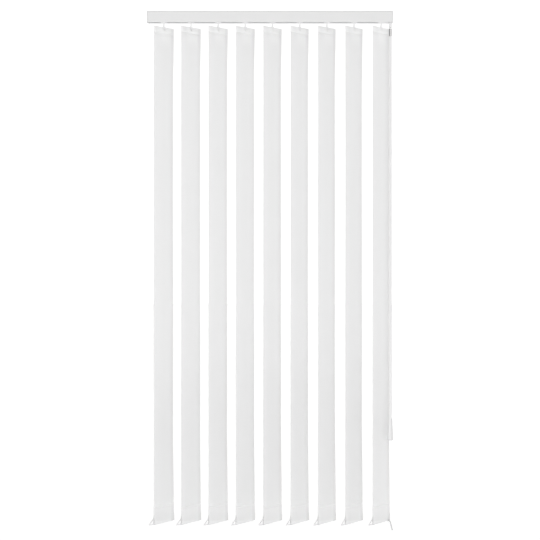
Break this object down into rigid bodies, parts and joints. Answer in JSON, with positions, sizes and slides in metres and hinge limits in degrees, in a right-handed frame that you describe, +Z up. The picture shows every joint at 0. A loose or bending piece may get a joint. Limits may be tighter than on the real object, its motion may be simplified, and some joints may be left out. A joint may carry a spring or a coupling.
{
  "type": "vertical blind",
  "caption": "Vertical blind with fabric vanes hung from a white head rail, drawn aside and turned by a hanging wand.",
  "frame": {"origin": "middle of the head rail's top face", "axes": "+X along the rail to the wand's end, +Y away from the room towards the window, +Z up"},
  "size_m": [0.7034, 0.0963, 1.4836],
  "materials": {
    "rail_paint": "satin",
    "cap_plastic": "satin",
    "rod_metal": "satin",
    "carrier_plastic": "satin",
    "worm_plastic": "satin",
    "stem_plastic": "satin",
    "vane_fabric": "matte",
    "weight_plastic": "satin",
    "joint_plastic": "gloss",
    "bail_steel": "satin",
    "wand_plastic": "gloss",
    "chain_plastic": "satin"
  },
  "bodies": {
    "rail": {"head_rail": "rail_paint", "end_cap_left": "cap_plastic", "end_cap_right": "cap_plastic"},
    "tilt_rod": {"tilt_rod": "rod_metal"},
    "carrier_1": {"carrier_1": "carrier_plastic"},
    "worm_1": {"worm_1": "worm_plastic"},
    "vane_1": {"stem_1": "stem_plastic", "vane_1": "vane_fabric", "weight_1": "weight_plastic"},
    "carrier_2": {"carrier_2": "carrier_plastic"},
    "worm_2": {"worm_2": "worm_plastic"},
    "vane_2": {"stem_2": "stem_plastic", "vane_2": "vane_fabric", "weight_2": "weight_plastic"},
    "carrier_3": {"carrier_3": "carrier_plastic"},
    "worm_3": {"worm_3": "worm_plastic"},
    "vane_3": {"stem_3": "stem_plastic", "vane_3": "vane_fabric", "weight_3": "weight_plastic"},
    "carrier_4": {"carrier_4": "carrier_plastic"},
    "worm_4": {"worm_4": "worm_plastic"},
    "vane_4": {"stem_4": "stem_plastic", "vane_4": "vane_fabric", "weight_4": "weight_plastic"},
    "carrier_5": {"carrier_5": "carrier_plastic"},
    "worm_5": {"worm_5": "worm_plastic"},
    "vane_5": {"stem_5": "stem_plastic", "vane_5": "vane_fabric", "weight_5": "weight_plastic"},
    "carrier_6": {"carrier_6": "carrier_plastic"},
    "worm_6": {"worm_6": "worm_plastic"},
    "vane_6": {"stem_6": "stem_plastic", "vane_6": "vane_fabric", "weight_6": "weight_plastic"},
    "carrier_7": {"carrier_7": "carrier_plastic"},
    "worm_7": {"worm_7": "worm_plastic"},
    "vane_7": {"stem_7": "stem_plastic", "vane_7": "vane_fabric", "weight_7": "weight_plastic"},
    "carrier_8": {"carrier_8": "carrier_plastic"},
    "worm_8": {"worm_8": "worm_plastic"},
    "vane_8": {"stem_8": "stem_plastic", "vane_8": "vane_fabric", "weight_8": "weight_plastic"},
    "carrier_9": {"carrier_9": "carrier_plastic"},
    "worm_9": {"worm_9": "worm_plastic"},
    "vane_9": {"stem_9": "stem_plastic", "vane_9": "vane_fabric", "weight_9": "weight_plastic", "chain_end": "chain_plastic"},
    "wand_joint": {"wand_joint": "joint_plastic", "joint_pin": "bail_steel"},
    "wand": {"wand_bail": "bail_steel", "wand_rod": "wand_plastic", "wand_grip": "wand_plastic"}
  },
  "joints": [
    {"name": "traverse_1", "type": "slide", "parent": "rail", "child": "carrier_1", "axis": [1, 0, 0], "range_m": [-0.0276, 0]},
    {"name": "traverse_2", "type": "slide", "parent": "rail", "child": "carrier_2", "axis": [1, 0, 0], "range_m": [-0.085, 0]},
    {"name": "traverse_3", "type": "slide", "parent": "rail", "child": "carrier_3", "axis": [1, 0, 0], "range_m": [-0.1424, 0]},
    {"name": "traverse_4", "type": "slide", "parent": "rail", "child": "carrier_4", "axis": [1, 0, 0], "range_m": [-0.1998, 0]},
    {"name": "traverse_5", "type": "slide", "parent": "rail", "child": "carrier_5", "axis": [1, 0, 0], "range_m": [-0.2572, 0]},
    {"name": "traverse_6", "type": "slide", "parent": "rail", "child": "carrier_6", "axis": [1, 0, 0], "range_m": [-0.3146, 0]},
    {"name": "traverse_7", "type": "slide", "parent": "rail", "child": "carrier_7", "axis": [1, 0, 0], "range_m": [-0.372, 0]},
    {"name": "traverse_8", "type": "slide", "parent": "rail", "child": "carrier_8", "axis": [1, 0, 0], "range_m": [-0.4294, 0]},
    {"name": "traverse_9", "type": "slide", "parent": "rail", "child": "carrier_9", "axis": [1, 0, 0], "range_m": [-0.4868, 0]},
    {"name": "tilt_1", "type": "hinge", "parent": "carrier_1", "child": "vane_1", "pos_m": [-0.3024, 0, -0.031], "axis": [0, 0, 1], "range_deg": [-36, 108]},
    {"name": "worm_turn_1", "type": "hinge", "parent": "carrier_1", "child": "worm_1", "pos_m": [-0.3024, 0.011, -0.0165], "axis": [1, 0, 0], "range_deg": [-360, 1080]},
    {"name": "tilt_2", "type": "hinge", "parent": "carrier_2", "child": "vane_2", "pos_m": [-0.225, 0, -0.031], "axis": [0, 0, 1], "range_deg": [-36, 108]},
    {"name": "worm_turn_2", "type": "hinge", "parent": "carrier_2", "child": "worm_2", "pos_m": [-0.225, 0.011, -0.0165], "axis": [1, 0, 0], "range_deg": [-360, 1080]},
    {"name": "tilt_3", "type": "hinge", "parent": "carrier_3", "child": "vane_3", "pos_m": [-0.1476, 0, -0.031], "axis": [0, 0, 1], "range_deg": [-36, 108]},
    {"name": "worm_turn_3", "type": "hinge", "parent": "carrier_3", "child": "worm_3", "pos_m": [-0.1476, 0.011, -0.0165], "axis": [1, 0, 0], "range_deg": [-360, 1080]},
    {"name": "tilt_4", "type": "hinge", "parent": "carrier_4", "child": "vane_4", "pos_m": [-0.0702, 0, -0.031], "axis": [0, 0, 1], "range_deg": [-36, 108]},
    {"name": "worm_turn_4", "type": "hinge", "parent": "carrier_4", "child": "worm_4", "pos_m": [-0.0702, 0.011, -0.0165], "axis": [1, 0, 0], "range_deg": [-360, 1080]},
    {"name": "tilt_5", "type": "hinge", "parent": "carrier_5", "child": "vane_5", "pos_m": [0.0072, 0, -0.031], "axis": [0, 0, 1], "range_deg": [-36, 108]},
    {"name": "worm_turn_5", "type": "hinge", "parent": "carrier_5", "child": "worm_5", "pos_m": [0.0072, 0.011, -0.0165], "axis": [1, 0, 0], "range_deg": [-360, 1080]},
    {"name": "tilt_6", "type": "hinge", "parent": "carrier_6", "child": "vane_6", "pos_m": [0.0846, 0, -0.031], "axis": [0, 0, 1], "range_deg": [-36, 108]},
    {"name": "worm_turn_6", "type": "hinge", "parent": "carrier_6", "child": "worm_6", "pos_m": [0.0846, 0.011, -0.0165], "axis": [1, 0, 0], "range_deg": [-360, 1080]},
    {"name": "tilt_7", "type": "hinge", "parent": "carrier_7", "child": "vane_7", "pos_m": [0.162, 0, -0.031], "axis": [0, 0, 1], "range_deg": [-36, 108]},
    {"name": "worm_turn_7", "type": "hinge", "parent": "carrier_7", "child": "worm_7", "pos_m": [0.162, 0.011, -0.0165], "axis": [1, 0, 0], "range_deg": [-360, 1080]},
    {"name": "tilt_8", "type": "hinge", "parent": "carrier_8", "child": "vane_8", "pos_m": [0.2394, 0, -0.031], "axis": [0, 0, 1], "range_deg": [-36, 108]},
    {"name": "worm_turn_8", "type": "hinge", "parent": "carrier_8", "child": "worm_8", "pos_m": [0.2394, 0.011, -0.0165], "axis": [1, 0, 0], "range_deg": [-360, 1080]},
    {"name": "tilt_9", "type": "hinge", "parent": "carrier_9", "child": "vane_9", "pos_m": [0.3168, 0, -0.031], "axis": [0, 0, 1], "range_deg": [-36, 108]},
    {"name": "worm_turn_9", "type": "hinge", "parent": "carrier_9", "child": "worm_9", "pos_m": [0.3168, 0.011, -0.0165], "axis": [1, 0, 0], "range_deg": [-360, 1080]},
    {"name": "rod_turn", "type": "hinge", "parent": "rail", "child": "tilt_rod", "pos_m": [0, 0.011, -0.0165], "axis": [1, 0, 0], "range_deg": [-360, 1080]},
    {"name": "wand_turn", "type": "hinge", "parent": "carrier_9", "child": "wand_joint", "pos_m": [0.3426, 0, -0.04], "axis": [0, 0, 1], "range_deg": [-360, 1080]},
    {"name": "wand_swing", "type": "hinge", "parent": "wand_joint", "child": "wand", "pos_m": [0.3426, 0, -0.0455], "axis": [0, -1, 0], "range_deg": [0, 30]}
  ],
  "couplings": [
    {"joint": "traverse_1", "follows": "traverse_9", "ratio": 0.056697},
    {"joint": "traverse_2", "follows": "traverse_9", "ratio": 0.17461},
    {"joint": "traverse_3", "follows": "traverse_9", "ratio": 0.29252},
    {"joint": "traverse_4", "follows": "traverse_9", "ratio": 0.41044},
    {"joint": "traverse_5", "follows": "traverse_9", "ratio": 0.52835},
    {"joint": "traverse_6", "follows": "traverse_9", "ratio": 0.64626},
    {"joint": "traverse_7", "follows": "traverse_9", "ratio": 0.76417},
    {"joint": "traverse_8", "follows": "traverse_9", "ratio": 0.88209},
    {"joint": "tilt_1", "follows": "tilt_9", "ratio": 1},
    {"joint": "worm_turn_1", "follows": "tilt_9", "ratio": 10},
    {"joint": "tilt_2", "follows": "tilt_9", "ratio": 1},
    {"joint": "worm_turn_2", "follows": "tilt_9", "ratio": 10},
    {"joint": "tilt_3", "follows": "tilt_9", "ratio": 1},
    {"joint": "worm_turn_3", "follows": "tilt_9", "ratio": 10},
    {"joint": "tilt_4", "follows": "tilt_9", "ratio": 1},
    {"joint": "worm_turn_4", "follows": "tilt_9", "ratio": 10},
    {"joint": "tilt_5", "follows": "tilt_9", "ratio": 1},
    {"joint": "worm_turn_5", "follows": "tilt_9", "ratio": 10},
    {"joint": "tilt_6", "follows": "tilt_9", "ratio": 1},
    {"joint": "worm_turn_6", "follows": "tilt_9", "ratio": 10},
    {"joint": "tilt_7", "follows": "tilt_9", "ratio": 1},
    {"joint": "worm_turn_7", "follows": "tilt_9", "ratio": 10},
    {"joint": "tilt_8", "follows": "tilt_9", "ratio": 1},
    {"joint": "worm_turn_8", "follows": "tilt_9", "ratio": 10},
    {"joint": "worm_turn_9", "follows": "tilt_9", "ratio": 10},
    {"joint": "rod_turn", "follows": "tilt_9", "ratio": 10},
    {"joint": "wand_turn", "follows": "tilt_9", "ratio": 10}
  ]
}
